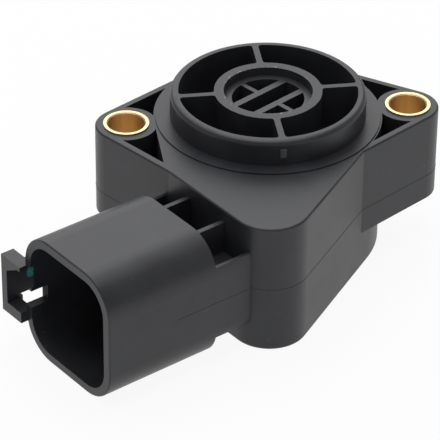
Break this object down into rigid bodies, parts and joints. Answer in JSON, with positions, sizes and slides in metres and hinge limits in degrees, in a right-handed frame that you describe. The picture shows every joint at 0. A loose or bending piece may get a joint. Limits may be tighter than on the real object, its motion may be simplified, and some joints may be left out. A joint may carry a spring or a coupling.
{
  "type": "accelerator pedal sensor",
  "caption": "Rotary pedal position sensor: pear-shaped dark housing with bushed ears, a ribbed pilot ring round a slotted sprung rotor, and an angled latching connector shroud.",
  "frame": {"origin": "on the rotor axis, in the mounting face, midway between the two bushed holes", "axes": "+X along the line of the two holes, +Z out of the pilot ring towards the pedal; the connector points 30 degrees from -X towards -Y"},
  "size_m": [0.081, 0.071, 0.0299],
  "materials": {
    "housing_plastic": "satin",
    "cover_plastic": "satin",
    "rotor_plastic": "satin",
    "brass": "turned",
    "terminal": "plated",
    "steel": "bright",
    "magnet": "dull",
    "board": "lacquered",
    "chip": "matte",
    "capacitor": "glazed",
    "washer_plastic": "matte",
    "seal_rubber": "matte"
  },
  "bodies": {
    "housing": {"housing": "housing_plastic", "left_bush": "brass", "right_bush": "brass", "thrust_washer": "washer_plastic", "rotor_retainer": "steel", "return_spring": "steel", "circuit_board": "board", "board_screw_1": "steel", "board_screw_2": "steel", "board_screw_3": "steel", "hall_chip_main": "chip", "hall_chip_second": "chip", "filter_capacitor_1": "capacitor", "filter_capacitor_2": "capacitor", "filter_capacitor_3": "capacitor", "terminal_pin_1": "terminal", "terminal_pin_2": "terminal", "terminal_pin_3": "terminal", "terminal_pin_4": "terminal", "terminal_pin_5": "terminal", "terminal_pin_6": "terminal", "rear_cover": "cover_plastic", "cover_gasket": "seal_rubber"},
    "rotor": {"rotor": "rotor_plastic", "rotor_seal": "seal_rubber", "rotor_magnet": "magnet"}
  },
  "joints": [
    {"name": "rotor_turn", "type": "hinge", "parent": "housing", "child": "rotor", "pos_m": [0, 0, 0], "axis": [0, 0, 1], "range_deg": [0, 80], "stiffness_Nm_per_rad": 0.012, "springref_deg": -20.05, "deforming": ["return_spring"]}
  ]
}
